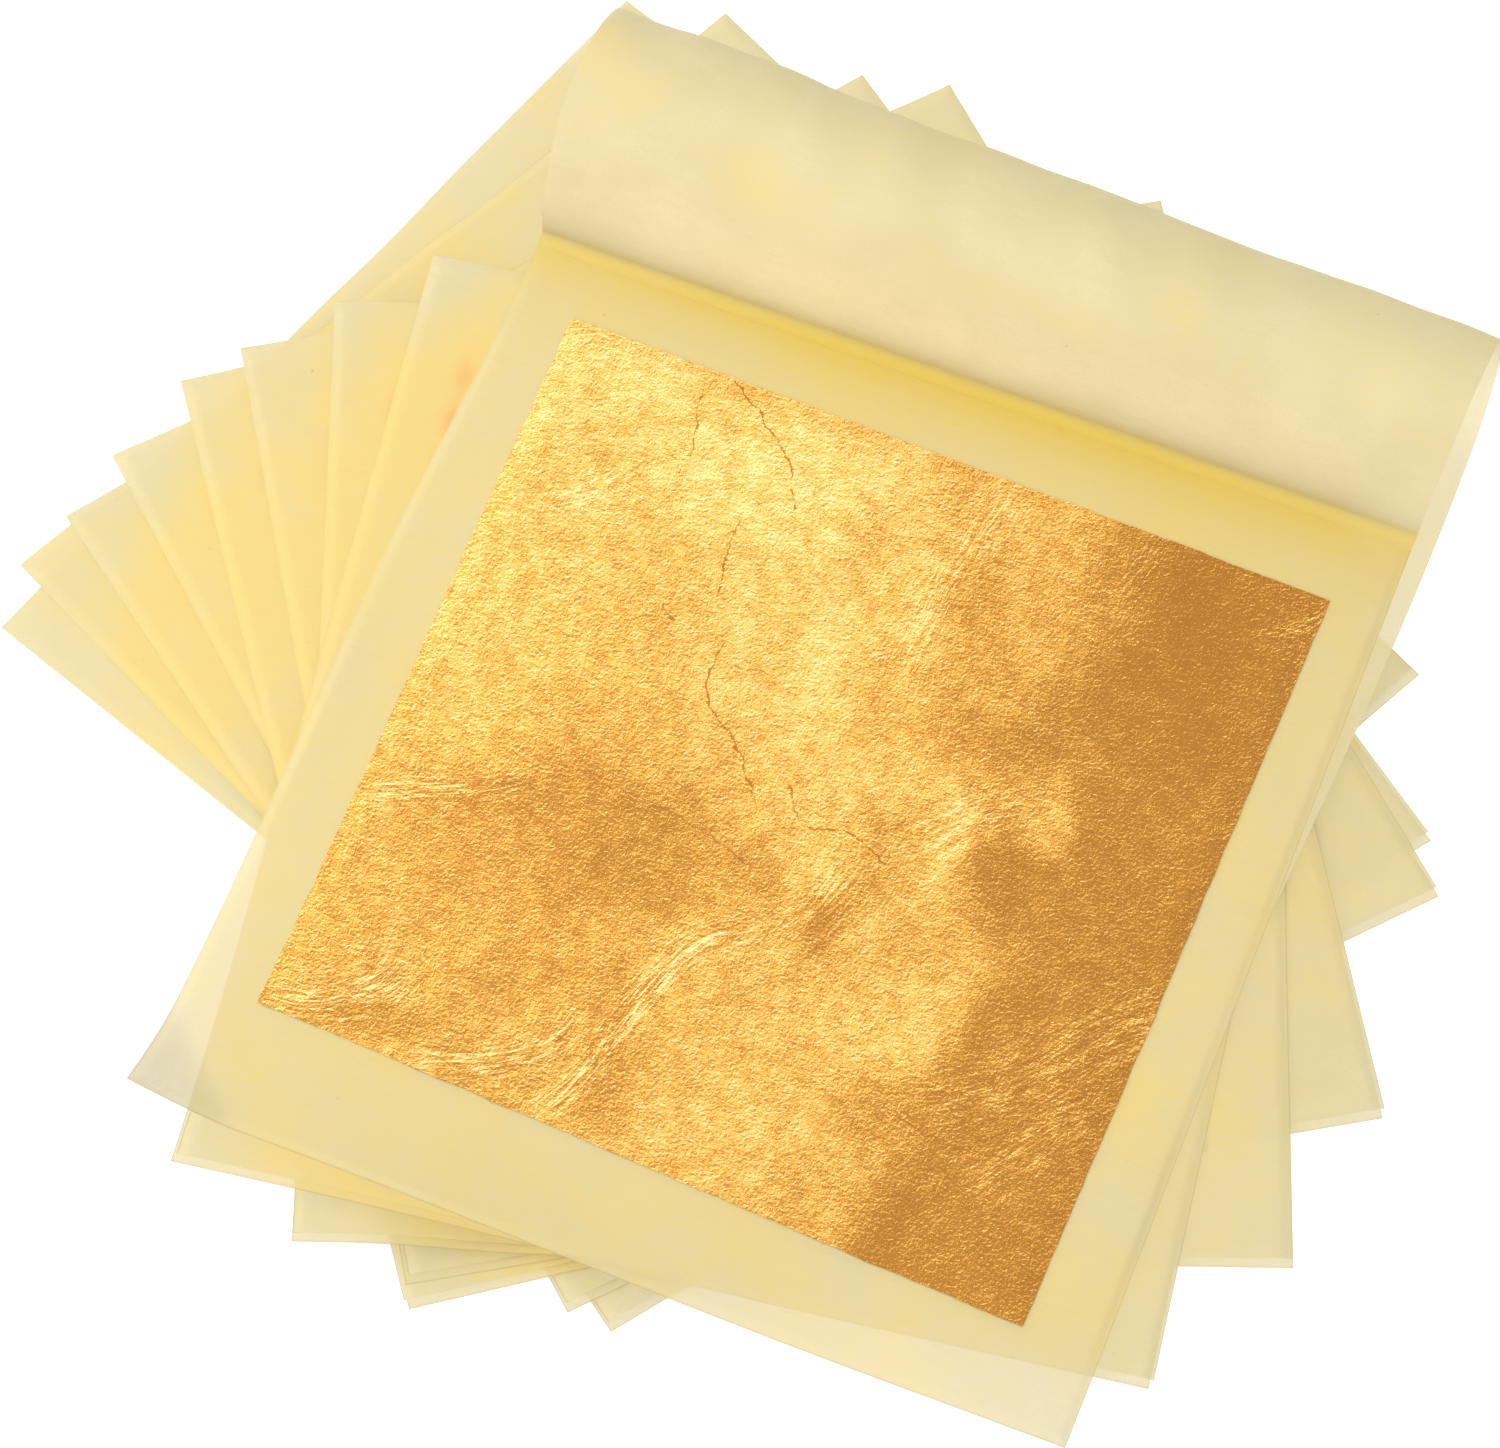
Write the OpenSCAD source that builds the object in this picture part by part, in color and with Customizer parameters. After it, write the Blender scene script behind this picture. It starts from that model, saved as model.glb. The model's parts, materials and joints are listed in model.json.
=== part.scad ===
// Gold leaf in folded tissue: a fanned pile of nine tissue folders, each a single
// sheet folded once, with one square of gold leaf lying inside it.
// The top folder is open: its under page lies flat and shows the leaf, and its
// cover page is rolled back over the fold and tucked under the pile's top.
// Frame: X along the fold of the top folder, Y towards that fold, Z up.
// The origin is the point that the fan turns about, on the underside of the pile.

/* [Folder] */
// Bare margin of tissue on each side of the leaf, along the fold
side_margin = 7; // [4:0.1:30]
// Bare margin between the leaf and the fold
fold_margin = 8.4; // [4:0.1:30]
// Bare margin between the leaf and the page's open edge
open_margin = 12.6; // [4:0.1:30]
// Thickness of the tissue
paper_t = 0.1; // [0.05:0.01:0.3]
// Height of the slot between the two pages of a closed folder
page_gap = 0.12; // [0.08:0.01:0.4]
// How far the under page reaches past the upper page at the open edge
page_step = 0.9; // [0:0.1:3]

/* [Leaf] */
// Side of the square of gold leaf
leaf_w = 80; // [40:0.5:120]
// Thickness of the leaf
leaf_t = 0.04; // [0.01:0.01:0.06]
// Clearance between the leaf and the page under it
leaf_clear = 0.02; // [0.01:0.01:0.1]
// Slip of the leaf along the fold, off the middle of its margins
leaf_x = 0.3; // [-3:0.1:3]
// Turn of the leaf on its page
leaf_turn = -1.7; // [-4:0.1:4]

/* [Fan] */
// Gap between one folder and the next
stack_gap = 0.05; // [0.02:0.01:0.3]
// Distance along the fold from the turning point to a folder's centre
turn_x = 21.9; // [0:0.1:40]
// Distance towards the fold from the turning point to a folder's centre
turn_y = 1; // [-20:0.1:20]
// Turn of each folder past the one above it, from the second folder to the ninth
fan_steps = [8.1, 12.2, 11.4, 3.6, 13, 5.5, 9.8, 7.2]; // [0:0.1:15]
// Slip of each folder along its fold, from the top folder to the ninth
slip_x = [0.2, -0.9, 0.9, 1.3, -2, 0.5, -1.7, 0.5, 1.2]; // [-3:0.1:3]
// Slip of each folder towards its fold, from the top folder to the ninth
slip_y = [1.5, 0.1, -0.8, -0.2, -0.9, -0.4, -1.5, 1.3, 0.9]; // [-3:0.1:3]

/* [Rolled cover] */
// Radius of the opened fold, where the cover turns up from the page
fold_r = 1.2; // [0.5:0.1:2]
// Radius of the front of the roll, which rises from the fold, at the left end
rise_r = 16; // [12:0.5:18]
// Radius of the crown of the roll, at the left end
crown_r = 10; // [8:0.5:14]
// Share by which the roll is smaller at the right end
taper = 0.13; // [0:0.01:0.2]
// How far the cover leans to the right, halfway along its length
lean = 2.1; // [0:0.1:4]
// Heading of the cover where the fold ends and the front begins
rise_angle = 97; // [90:1:105]
// Heading where the rising front becomes the crown
crown_start = 40; // [25:1:55]
// Heading where the crown becomes the round back, below the level
crown_end = 35; // [15:1:45]
// Gap between the open page and the crease that it turns about
crease_gap = 0.4; // [0.3:0.05:1]

/* [Hidden] */
$fn = 96;

FOLDERS = 9;
// Greatest turn between two facets of the roll, and the counts that divide it
arc_step = 5;
tail_steps = 4;
roll_bays = 4;
TISSUE = [0.96, 0.91, 0.69];
GOLD = [0.93, 0.72, 0.29];

// The sheets are cut to the leaf and its margins: the folder's width along its fold, and
// the length of a page from the fold to its open edge
folder_w = leaf_w + 2 * side_margin;
page_l = fold_margin + leaf_w + open_margin;
// The leaf lies between its margins, so its centre is this far from the page's middle
leaf_y = (open_margin - fold_margin) / 2;

// A closed folder is two pages and the slot between them
folder_t = 2 * paper_t + page_gap;
pitch = folder_t + stack_gap;
// The cover's tail lies on the second folder, and the open page on the tail
tail_z = (FOLDERS - 1) * pitch + paper_t / 2;
drop = paper_t + stack_gap;
page_z = tail_z + drop;

// Turn of folder i from the top folder's direction, which is the sum of the steps above it
function fan_angle(i) = i < 2 ? 0 : fan_angle(i - 1) + fan_steps[i - 2];

// Half of the opened fold belongs to each page, so the flat of the open page ends, and
// the cover starts, this far short of the closed fold
fold_half = arc_length(fold_r, rise_angle, 0) / 2;
cover_l = page_l - page_step + fold_half;

// The end of an arc that starts at a point and turns down from one heading to another,
// or up where its radius is negative; a point is [distance past the crease, height]
function arc_end(start, r, from, to) =
    start + r * [sin(from) - sin(to), cos(to) - cos(from)];
function arc_length(r, from, to) = abs(r * PI * (from - to) / 180);

// Extrudes an outline drawn in Y and Z along the fold, centred on the folder
module along_fold() {
    rotate([90, 0, 90])
        linear_extrude(folder_w, center = true) children();
}

// Lays folder i in the fan at height z, with its own turn and slip about the turning point
module in_fan(i, z) {
    translate([0, 0, z])
        rotate(fan_angle(i))
            translate([turn_x + slip_x[i - 1], turn_y + slip_y[i - 1], 0]) children();
}

// Outline of a closed folder: under page, upper page and the half round of the fold
module folder_outline() {
    fold_y = page_l / 2 - folder_t / 2;
    translate([-page_l / 2, 0])
        square([page_l / 2 + fold_y, paper_t]);
    translate([page_step - page_l / 2, folder_t - paper_t])
        square([page_l / 2 + fold_y - page_step, paper_t]);
    translate([fold_y, folder_t / 2])
        intersection() {
            difference() {
                circle(folder_t / 2);
                circle(folder_t / 2 - paper_t);
            }
            translate([0, -folder_t])
                square([folder_t, 2 * folder_t]);
        }
}

// Stations along an arc as [point, heading, length from the crease], without its start
function arc_stations(start, r, from, to, length) =
    let (n = ceil(abs(from - to) / arc_step))
    [for (k = [1:n]) let (a = from + (to - from) * k / n)
        [arc_end(start, r, from, a), a, length + arc_length(r, from, a)]];

// The cover's middle line at one place along the crease, from e = 0 at the left end to 1
// at the right: the opened fold, a rising front, a crown, a round back and a level tail.
// The back's radius is the one that brings the tail one tissue and one gap under the page.
function cover_line(e) =
    let (size = 1 - taper * e,
        front_r = size * rise_r,
        top_r = size * crown_r,
        front = arc_end([0, 0], -fold_r, 0, rise_angle),
        crown = arc_end(front, front_r, rise_angle, crown_start),
        back = arc_end(crown, top_r, crown_start, -crown_end),
        back_r = (back.y + drop) / (1 + cos(crown_end)),
        tail = arc_end(back, back_r, -crown_end, -180),
        front_s = arc_length(fold_r, rise_angle, 0),
        crown_s = front_s + arc_length(front_r, rise_angle, crown_start),
        back_s = crown_s + arc_length(top_r, crown_start, -crown_end),
        tail_s = back_s + arc_length(back_r, -crown_end, -180))
    concat([[[0, 0], 0, 0]],
        arc_stations([0, 0], -fold_r, 0, rise_angle, 0),
        arc_stations(front, front_r, rise_angle, crown_start, front_s),
        arc_stations(crown, top_r, crown_start, -crown_end, crown_s),
        arc_stations(back, back_r, -crown_end, -180, back_s),
        [for (k = [1:tail_steps]) let (run = (cover_l - tail_s) * k / tail_steps)
            [tail - [run, 0], -180, tail_s + run]]);

// One ring of points round the tissue at e: out along one face and back along the other
function cover_ring(e) =
    let (line = cover_line(e), last = len(line) - 1)
    [for (side = [1, -1], k = [0:last])
        let (s = line[side > 0 ? k : last - k],
            p = s[0] + side * paper_t / 2 * [-sin(s[1]), cos(s[1])])
        [folder_w * (e - 0.5) + lean * sin(180 * s[2] / cover_l), p.x, p.y]];

// A tube of facets through rings of points, closed at its two ends by strips
// between the two faces of the sheet
module sheet_through(rings) {
    n = len(rings[0]);
    ends = len(rings) - 1;
    sides = [for (j = [0:ends - 1], k = [0:n - 1])
        let (a = j * n + k, b = j * n + (k + 1) % n)
        each [[a, b, b + n], [a, b + n, a + n]]];
    strips = [for (k = [0:n / 2 - 2], j = [0, ends])
        let (a = j * n + k, b = a + 1, c = j * n + n - 2 - k, d = c + 1)
        each j == 0 ? [[a, d, c], [a, c, b]] : [[a, c, d], [a, b, c]]];
    polyhedron([for (ring = rings) each ring], concat(sides, strips));
}

// A closed folder, one sheet folded once
module closed_folder(i) {
    color(TISSUE) in_fan(i, (FOLDERS - i) * pitch)
        along_fold() folder_outline();
}

// A square of leaf that lies on a page whose upper face is at height z
module leaf(i, z) {
    color(GOLD) in_fan(i, z + leaf_clear)
        translate([leaf_x, leaf_y, leaf_t / 2])
            rotate(leaf_turn) cube([leaf_w, leaf_w, leaf_t], center = true);
}

// The leaf inside a closed folder
module folded_leaf(i) {
    leaf(i, (FOLDERS - i) * pitch + paper_t);
}

// The open page of the top folder, which lies flat and carries the leaf in view
module open_page() {
    color(TISSUE) in_fan(1, page_z - paper_t / 2)
        translate([-folder_w / 2, -page_l / 2, 0])
            cube([folder_w, page_l - fold_half - crease_gap, paper_t]);
}

// The cover page of the top folder, rolled back from the crease and tucked under the page
module turned_cover() {
    color(TISSUE) in_fan(1, page_z)
        translate([0, page_l / 2 - fold_half, 0])
            sheet_through([for (j = [0:roll_bays]) cover_ring(j / roll_bays)]);
}

module top_leaf() {
    leaf(1, page_z + paper_t / 2);
}

open_page();
turned_cover();
top_leaf();
closed_folder(2);  // folder_2
closed_folder(3);  // folder_3
closed_folder(4);  // folder_4
closed_folder(5);  // folder_5
closed_folder(6);  // folder_6
closed_folder(7);  // folder_7
closed_folder(8);  // folder_8
closed_folder(9);  // folder_9
folded_leaf(2);  // leaf_2
folded_leaf(3);  // leaf_3
folded_leaf(4);  // leaf_4
folded_leaf(5);  // leaf_5
folded_leaf(6);  // leaf_6
folded_leaf(7);  // leaf_7
folded_leaf(8);  // leaf_8
folded_leaf(9);  // leaf_9
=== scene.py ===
# %% [markdown]
# Loose gold leaf is sold between folded sheets of pale yellow tissue. This lesson dresses
# a fanned pile of nine such folders. The top one is open: its cover page is rolled back,
# and the leaf lies in view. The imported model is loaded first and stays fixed, so every
# place and size below is read from it or repeated from its drawing.

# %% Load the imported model
import json
from math import cos, pi, radians, sin

import bpy
import numpy as np
from mathutils import Matrix, Vector


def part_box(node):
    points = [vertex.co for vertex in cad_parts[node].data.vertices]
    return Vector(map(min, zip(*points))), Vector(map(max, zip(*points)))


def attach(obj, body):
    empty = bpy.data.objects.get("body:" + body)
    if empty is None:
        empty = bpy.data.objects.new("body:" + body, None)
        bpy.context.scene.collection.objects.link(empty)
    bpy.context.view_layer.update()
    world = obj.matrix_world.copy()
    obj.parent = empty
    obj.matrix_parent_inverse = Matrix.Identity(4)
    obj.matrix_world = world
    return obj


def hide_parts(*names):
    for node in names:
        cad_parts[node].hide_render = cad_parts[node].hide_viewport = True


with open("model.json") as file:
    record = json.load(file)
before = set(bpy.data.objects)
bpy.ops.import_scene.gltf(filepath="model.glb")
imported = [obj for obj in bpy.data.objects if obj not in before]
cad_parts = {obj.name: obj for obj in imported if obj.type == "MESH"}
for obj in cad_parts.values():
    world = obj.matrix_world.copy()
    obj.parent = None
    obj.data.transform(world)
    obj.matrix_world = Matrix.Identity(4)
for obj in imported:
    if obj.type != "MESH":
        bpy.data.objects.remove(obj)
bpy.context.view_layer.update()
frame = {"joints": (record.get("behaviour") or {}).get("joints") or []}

MM = 0.001
FOLDERS = 9

# %% [markdown]
# The pile is a fan: each folder is turned a few degrees past the one above it, about one
# place near the left edges. The joint between two neighbours may close that turn, so its
# upper limit is the turn itself. Adding the limits up from the top gives each angle, and
# the middle of a node's box gives the middle of its sheet.

# %% Read the fan and the sheet sizes from the frame
joints = {joint["child"]: joint for joint in frame["joints"]}
page_low, page_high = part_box("open_page")
folder_low, folder_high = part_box("folder_9")
PAPER_T = (page_high.z - page_low.z) / MM
FOLDER_T = (folder_high.z - folder_low.z) / MM
PAGE_W = (page_high.x - page_low.x) / MM

turns = {1: 0.0}
for i in range(2, FOLDERS + 1):
    above = "top_folder" if i == 2 else f"folder_{i - 1}"
    turns[i] = turns[i - 1] + joints[above]["range_deg"][1]

last_turn = radians(turns[FOLDERS])
box_width = (folder_high.x - folder_low.x) / MM
PAGE_L = (box_width - PAGE_W * cos(last_turn)) / sin(last_turn)
# How far the under page of a folder reaches past the upper one, as in the drawing
PAGE_STEP = 0.9
print(f"page {PAGE_W:.1f} by {PAGE_L:.1f} mm, last folder turned {turns[FOLDERS]:.1f} degrees")


def middle_of(node):
    """Middle of a node's box in X and Y, and its underside, in millimetres."""
    low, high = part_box(node)
    return (low.x + high.x) / 2 / MM, (low.y + high.y) / 2 / MM, low.z / MM


page_x, _, page_z = middle_of("open_page")
page_y = page_low.y / MM + PAGE_L / 2
page_z = page_z + PAPER_T / 2

# %% [markdown]
# The photograph looks down at the pile from about 65 degrees, a little from the left, and
# from far enough away that parallel edges stay nearly parallel. A long lens does the same
# here. The camera is placed by the point it looks at, two angles, a roll and a distance.

# %% Camera at the photograph's angle
AIM = Vector((14.79, 11.87, 0)) * MM
DISTANCE = 667.55 * MM
AZIMUTH, ELEVATION, ROLL = radians(19.2), radians(65.26), radians(2.07)
LENS_MM, SENSOR_MM = 164.0, 36.0

look = Vector((-sin(AZIMUTH) * cos(ELEVATION), cos(AZIMUTH) * cos(ELEVATION), -sin(ELEVATION)))
level = Vector((cos(AZIMUTH), sin(AZIMUTH), 0))
upright = level.cross(look)
right = cos(ROLL) * level + sin(ROLL) * upright
upward = cos(ROLL) * upright - sin(ROLL) * level

camera_data = bpy.data.cameras.new("camera")
camera_data.lens = LENS_MM
camera_data.sensor_width = SENSOR_MM
camera_data.clip_start = 0.01
camera = bpy.data.objects.new("camera", camera_data)
bpy.context.scene.collection.objects.link(camera)
turn = Matrix((right, upward, -look)).transposed().to_4x4()
camera.matrix_world = Matrix.Translation(AIM - look * DISTANCE) @ turn
bpy.context.scene.camera = camera
bpy.context.scene.view_settings.view_transform = "Standard"
print("camera height", round(camera.location.z, 3), "m")

# %% [markdown]
# Every material below is a small graph of shader nodes. These helpers keep such a graph
# readable: one adds a node and feeds its inputs with numbers or with other nodes' sockets,
# one does arithmetic, and one starts a node group with named inputs and outputs.

# %% Helpers for shader nodes
SOCKETS = {"float": "NodeSocketFloat", "vector": "NodeSocketVector", "colour": "NodeSocketColor"}
# Length of one unit of a sheet's map
MAP_MM = 100


def colour(code):
    """A colour code such as #F5E9B0 as linear light, which is what shaders count in."""
    parts = np.array([int(code[k:k + 2], 16) for k in (1, 3, 5)]) / 255
    linear = np.where(parts > 0.04045, ((parts + 0.055) / 1.055) ** 2.4, parts / 12.92)
    return (*linear.tolist(), 1.0)


def add(tree, kind, inputs=None, **settings):
    """Adds a shader node; each input takes a number, a colour or the socket that feeds it."""
    made = tree.nodes.new("ShaderNode" + kind)
    for name, value in settings.items():
        setattr(made, name, value)
    for name, value in (inputs or {}).items():
        if isinstance(value, bpy.types.NodeSocket):
            tree.links.new(value, made.inputs[name])
        else:
            made.inputs[name].default_value = value
    return made


def maths(tree, operation, *values, clamp=False):
    """One Math node on numbers or sockets, and its result."""
    inputs = dict(enumerate(values))
    return add(tree, "Math", inputs, operation=operation, use_clamp=clamp).outputs[0]


def mix_colours(tree, share, first, second):
    """A share of the second colour laid over the first."""
    inputs = {"Factor": share, 6: first, 7: second}
    return add(tree, "Mix", inputs, data_type="RGBA").outputs[2]


def noise(tree, place, scale, detail=2.0, roughness=0.5, distortion=0.0):
    """Smooth noise about 0.5, with scale in lumps per millimetre."""
    inputs = {"Vector": place, "Scale": scale, "Detail": detail, "Roughness": roughness,
              "Distortion": distortion}
    return add(tree, "TexNoise", inputs).outputs[0]


def stretched(tree, place, angle=0.0, scale=(1, 1, 1), offset=(0, 0, 0)):
    """The place turned and stretched, so that a pattern on it runs one way."""
    inputs = {"Vector": place, "Location": offset, "Rotation": (0, 0, angle), "Scale": scale}
    return add(tree, "Mapping", inputs).outputs[0]


def soft_step(tree, value, low, high, bottom=0.0, top=1.0):
    """Runs smoothly from bottom to top as the value goes from low to high."""
    inputs = {"Value": value, "From Min": low, "From Max": high, "To Min": bottom, "To Max": top}
    return add(tree, "MapRange", inputs, interpolation_type="SMOOTHSTEP").outputs[0]


def add_swing(tree, base, value, strength, middle=0.5):
    """Adds to a base how far a value swings from its middle, times a strength."""
    swing = maths(tree, "SUBTRACT", value, middle)
    return maths(tree, "MULTIPLY_ADD", swing, strength, base)


def thin_lines(tree, value, half_width):
    """Thin wandering lines: one where a noise crosses 0.5, and zero past half a width."""
    swing = maths(tree, "ABSOLUTE", maths(tree, "SUBTRACT", value, 0.5))
    return soft_step(tree, swing, 0, half_width, 1, 0)


def new_group(name, inputs, outputs):
    """An empty node group, with its inner ends and a socket for each named input and output."""
    group = bpy.data.node_groups.new(name, "ShaderNodeTree")
    for label, (kind, value) in inputs.items():
        socket = group.interface.new_socket(label, in_out="INPUT", socket_type=SOCKETS[kind])
        if value is not None:
            socket.default_value = value
    for label, kind in outputs.items():
        group.interface.new_socket(label, in_out="OUTPUT", socket_type=SOCKETS[kind])
    start = group.nodes.new("NodeGroupInput")
    end = group.nodes.new("NodeGroupOutput")
    return group, start.outputs, end.inputs


def use_group(tree, group, inputs):
    """Places a node group in a material and feeds it."""
    return add(tree, "Group", inputs, node_tree=group).outputs


def new_material(name):
    """A material with its Principled shader and the sheet's own place in millimetres."""
    material = bpy.data.materials.new(name)
    material.use_nodes = True
    tree = material.node_tree
    shader = tree.nodes["Principled BSDF"]
    in_decimetres = add(tree, "UVMap", uv_map="sheet").outputs[0]
    factors = {0: in_decimetres, 1: (MAP_MM, MAP_MM, MAP_MM)}
    place = add(tree, "VectorMath", factors, operation="MULTIPLY").outputs[0]
    return material, tree, shader, place


def read_marks(tree, *names):
    """The numbers kept at each point of a sheet, by name."""
    return {name: add(tree, "Attribute", attribute_name=name).outputs["Fac"] for name in names}


print("tissue colour in linear light", [round(x, 3) for x in colour("#F5E9B0")[:3]])

# %% [markdown]
# The studio is a pale floor under a white sky with large soft lamps. The camera has to see
# pure white, yet the pile must not be lit by it, or the pale tissue would burn out. Light
# Path tells the two apart: rays from the camera and mirror rays see white, and all other
# light gets a plain strength. The floor glows a little for the camera only, so that it
# clips to white where it is lit and still shows the pile's soft shadow.

# %% Floor, sky and lamps
FLOOR_SIZE = 6.0
SKY_LIGHT = 0.45
FLOOR_GLOW = 0.55


def seen_directly(tree):
    """One for rays that show the background itself: camera, mirror and glass rays."""
    path = add(tree, "LightPath").outputs
    seen = maths(tree, "MAXIMUM", path["Is Camera Ray"], path["Is Glossy Ray"])
    return maths(tree, "MAXIMUM", seen, path["Is Transmission Ray"])


def make_floor():
    """A wide square just under the pile, whose paint glows for the camera only."""
    half = FLOOR_SIZE / 2
    corners = [(-half, -half, 0), (half, -half, 0), (half, half, 0), (-half, half, 0)]
    mesh = bpy.data.meshes.new("floor")
    mesh.from_pydata(corners, [], [(0, 1, 2, 3)])
    floor = bpy.data.objects.new("floor", mesh)
    bpy.context.scene.collection.objects.link(floor)
    paint = bpy.data.materials.new("floor paint")
    paint.use_nodes = True
    tree = paint.node_tree
    shader = tree.nodes["Principled BSDF"]
    shader.inputs["Base Color"].default_value = (0.75, 0.75, 0.75, 1)
    shader.inputs["Roughness"].default_value = 1.0
    shader.inputs["Specular IOR Level"].default_value = 0.0
    shader.inputs["Emission Color"].default_value = (1, 1, 1, 1)
    glow = maths(tree, "MULTIPLY", seen_directly(tree), FLOOR_GLOW)
    tree.links.new(glow, shader.inputs["Emission Strength"])
    mesh.materials.append(paint)
    return floor


def make_sky():
    """A plain white world, at full strength only where it is seen directly."""
    world = bpy.data.worlds.new("sky")
    world.use_nodes = True
    bpy.context.scene.world = world
    tree = world.node_tree
    strength = maths(tree, "MULTIPLY_ADD", seen_directly(tree), 1 - SKY_LIGHT, SKY_LIGHT)
    background = tree.nodes["Background"]
    background.inputs["Color"].default_value = (1, 1, 1, 1)
    tree.links.new(strength, background.inputs["Strength"])
    return world


def make_lamp(name, place, size, watts):
    """A square soft lamp that faces the pile."""
    data = bpy.data.lights.new(name, "AREA")
    data.shape = "SQUARE"
    data.size = size
    data.energy = watts
    lamp = bpy.data.objects.new(name, data)
    lamp.location = place
    lamp.rotation_euler = (AIM - Vector(place)).to_track_quat("-Z", "Y").to_euler()
    bpy.context.scene.collection.objects.link(lamp)
    return lamp


floor = make_floor()
make_sky()
make_lamp("key", (-0.46, -0.05, 0.44), 1.0, 4.3)
make_lamp("fill", (-0.1, -1.0, 0.28), 0.8, 3.5)
make_lamp("back", (0.1, 0.9, 0.5), 0.8, 1.1)
print("floor", FLOOR_SIZE, "m wide, sky light", SKY_LIGHT)

# %% [markdown]
# Every sheet in the pile is made the same way. A function of two parameters gives the
# middle of the sheet as a grid of points, and numpy works the whole grid out at once. The
# two faces are that grid moved half a thickness along its normal, and a strip closes the
# rim. The map runs over the sheet in decimetres, so a pattern keeps its real scale and
# goes round a fold as fibres in paper do.

# %% Build a thin sheet from a grid of points
RIM_ANGLE = radians(55)


def grid_faces(rows, columns):
    """Corner numbers of the faces: the top grid, the bottom grid turned over, and the rim."""
    count = rows * columns
    number = np.arange(count).reshape(rows, columns)
    top = np.stack([number[:-1, :-1], number[1:, :-1], number[1:, 1:], number[:-1, 1:]], axis=-1)
    top = top.reshape(-1, 4)
    bottom = top[:, ::-1] + count
    border = np.concatenate([number[:-1, 0], number[-1, :-1], number[:0:-1, -1], number[0, :0:-1]])
    after = np.roll(border, -1)
    rim = np.stack([border, border + count, after + count, after], axis=-1)
    return np.concatenate([top, bottom, rim])


def make_sheet(name, material, middle, thickness, place_on_sheet, marks):
    """A closed thin sheet about a grid of middle points in millimetres.

    Each face is middle + or - thickness / 2 * normal, with the normal from the cross
    product of the grid's two directions. Marks are numbers kept at each point for materials."""
    normal = np.cross(np.gradient(middle, axis=0), np.gradient(middle, axis=1))
    normal /= np.linalg.norm(normal, axis=-1, keepdims=True)
    faces_of = [middle + side * thickness / 2 * normal for side in (1, -1)]
    points = np.concatenate([face.reshape(-1, 3) for face in faces_of]) * MM
    faces = grid_faces(*middle.shape[:2])
    mesh = bpy.data.meshes.new(name)
    mesh.vertices.add(len(points))
    mesh.vertices.foreach_set("co", points.astype(np.float32).ravel())
    mesh.loops.add(faces.size)
    mesh.loops.foreach_set("vertex_index", faces.astype(np.int32).ravel())
    mesh.polygons.add(len(faces))
    mesh.polygons.foreach_set("loop_start", np.arange(0, faces.size, 4, dtype=np.int32))
    mesh.update(calc_edges=True)
    flat_map = np.tile(place_on_sheet.reshape(-1, 2) / MAP_MM, (2, 1))
    layer = mesh.uv_layers.new(name="sheet")
    layer.uv.foreach_set("vector", flat_map[faces.ravel()].astype(np.float32).ravel())
    for mark, values in marks.items():
        attribute = mesh.attributes.new(mark, "FLOAT", "POINT")
        attribute.data.foreach_set("value", np.tile(values.ravel(), 2).astype(np.float32))
    mesh.materials.append(material)
    mesh.shade_smooth()
    mesh.set_sharp_from_angle(angle=RIM_ANGLE)
    sheet = bpy.data.objects.new(name, mesh)
    bpy.context.scene.collection.objects.link(sheet)
    return sheet


def smooth(value, low, high):
    """Runs from 0 to 1 with level ends as the value goes from low to high."""
    t = np.clip((value - low) / (high - low), 0, 1)
    return t * t * (3 - 2 * t)


def spaced(low, high, count):
    """Numbers from low to high that lie closer together near both ends.

    Each is low + (high - low) * (0.2 * u + 0.4 * (1 - cos(pi * u))), for even steps of u."""
    u = np.linspace(0, 1, count)
    return low + (high - low) * (0.2 * u + 0.4 * (1 - np.cos(pi * u)))


def ripples(x, y, length, seed, count=16):
    """Soft random relief about 0: a sum of waves of about one length, in seeded directions."""
    chance = np.random.default_rng(seed)
    heading = chance.uniform(0, 2 * pi, count)
    wave = 2 * pi / (length * chance.uniform(0.75, 1.4, count))
    start = chance.uniform(0, 2 * pi, count)
    total = sum(np.sin(w * (x * cos(h) + y * sin(h)) + s) for w, h, s in zip(wave, heading, start))
    return total / np.sqrt(count)


print("a 3 by 3 grid has", len(grid_faces(3, 3)), "faces")

# %% [markdown]
# Loose tissue never lies dead flat. The lower edges of the top three sheets stand up a
# little, most of all at the left corner of the open page, which curls. The rest of the
# pile stays level, so that the folders still slide over each other when they turn.

# %% How high each sheet stands up from the flat pile
# Height at the lower left corner, width of the lift along the lower edge, and its depth
EDGE_LIFTS = {1: (3.7, 75.0, 28.0), 2: (2.8, 65.0, 27.0), 3: (2.4, 24.0, 20.0)}
EDGE_REST = 0.7
CORNER_CURL, CORNER_REACH = 3.3, 11.0


def edge_lift(i, x, y):
    """Lift of sheet i at a place on its page, from its lower left corner and lower edge.

    It is height * (1 - depth share) ^ 2 upwards from the edge, with a smooth fall to the
    right. The top sheet keeps a little of it all along, and its corner curls further."""
    if i not in EDGE_LIFTS:
        return np.zeros_like(x)
    height, width, depth = EDGE_LIFTS[i]
    from_left, from_edge = x + PAGE_W / 2, y + PAGE_L / 2
    along = 1 - smooth(from_left, width * 0.2, width)
    lift = height * along
    if i == 1:
        lift = EDGE_REST + (height - EDGE_REST) * along
    lift = lift * np.clip(1 - from_edge / depth, 0, 1) ** 2
    if i == 1:
        curl = np.clip(1 - (from_left + from_edge) / CORNER_REACH, 0, 1)
        lift = lift + CORNER_CURL * curl ** 1.5
    return lift


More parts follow.
